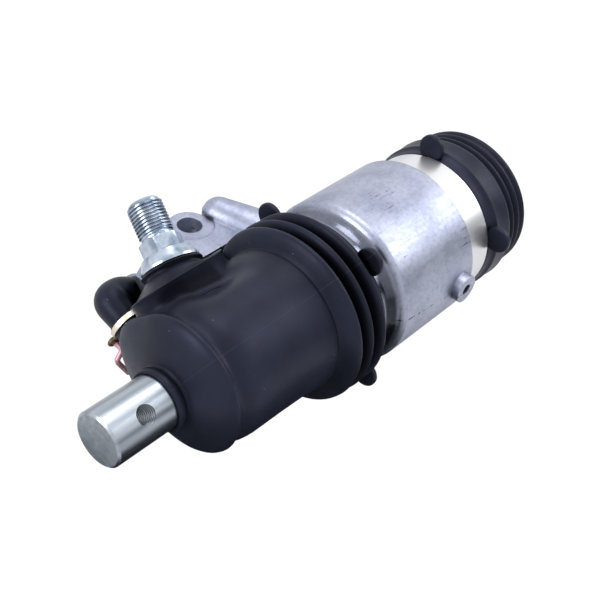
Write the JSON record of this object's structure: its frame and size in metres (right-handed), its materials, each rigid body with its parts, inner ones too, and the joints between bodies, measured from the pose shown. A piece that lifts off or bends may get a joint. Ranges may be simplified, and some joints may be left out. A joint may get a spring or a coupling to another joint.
{
  "type": "gear shift booster",
  "caption": "Air assisted gear shift booster with an output rod, a valve lever in a rubber boot, a die cast housing with a mounting arm and a closed rear boot.",
  "frame": {"origin": "where the output rod's axis meets the axis of its threaded cross hole", "axes": "+X along the rod toward the rear boot, +Z normal to the mounting arm's top face, +Y toward the mounting arm"},
  "size_m": [0.2492, 0.122, 0.0938],
  "materials": {
    "casting": "die cast, fine scratches",
    "machined_aluminium": "machined",
    "rod_steel": "ground",
    "zinc_steel": "bright zinc",
    "yellow_zinc": "pale yellow zinc",
    "bronze": "sintered bronze",
    "boot_rubber": "smooth moulded",
    "seal_rubber": "smooth",
    "bearing_plastic": "machined"
  },
  "bodies": {
    "housing": {"housing": "casting", "guide_bushes": "bronze", "rod_pressure_seals": "seal_rubber", "rod_wiper_seals": "seal_rubber", "seal_retainers": "rod_steel", "rear_cover": "machined_aluminium", "cover_oring": "seal_rubber", "rear_boot": "boot_rubber", "gallery_plug": "machined_aluminium"},
    "rod": {"shift_rod": "rod_steel", "rod_plug": "rod_steel", "lever_pivot_pin": "rod_steel", "piston": "machined_aluminium", "piston_seals": "seal_rubber", "piston_wear_ring": "bearing_plastic", "piston_snap_rings": "rod_steel", "spool_spring": "rod_steel", "front_boot": "boot_rubber", "breather_hose": "boot_rubber", "hose_clamp": "yellow_zinc"},
    "lever": {"input_lever": "zinc_steel", "lever_stud": "zinc_steel"},
    "spool": {"valve_spool": "rod_steel", "spool_orings": "seal_rubber"}
  },
  "joints": [
    {"name": "rod_slide", "type": "slide", "parent": "housing", "child": "rod", "axis": [1, 0, 0], "range_m": [-0.016, 0.004], "deforming": ["front_boot", "breather_hose"]},
    {"name": "lever_swing", "type": "hinge", "parent": "rod", "child": "lever", "pos_m": [0.0453, -0.00715, -0.00459], "axis": [0, 0.5402, -0.8415], "range_deg": [-24, 0], "deforming": ["front_boot"]},
    {"name": "spool_slide", "type": "slide", "parent": "rod", "child": "spool", "axis": [1, 0, 0], "range_m": [-0.0037, 0], "deforming": ["spool_spring"]}
  ],
  "couplings": [
    {"joint": "spool_slide", "follows": "lever_swing", "m_per_rad": 0.008537}
  ]
}
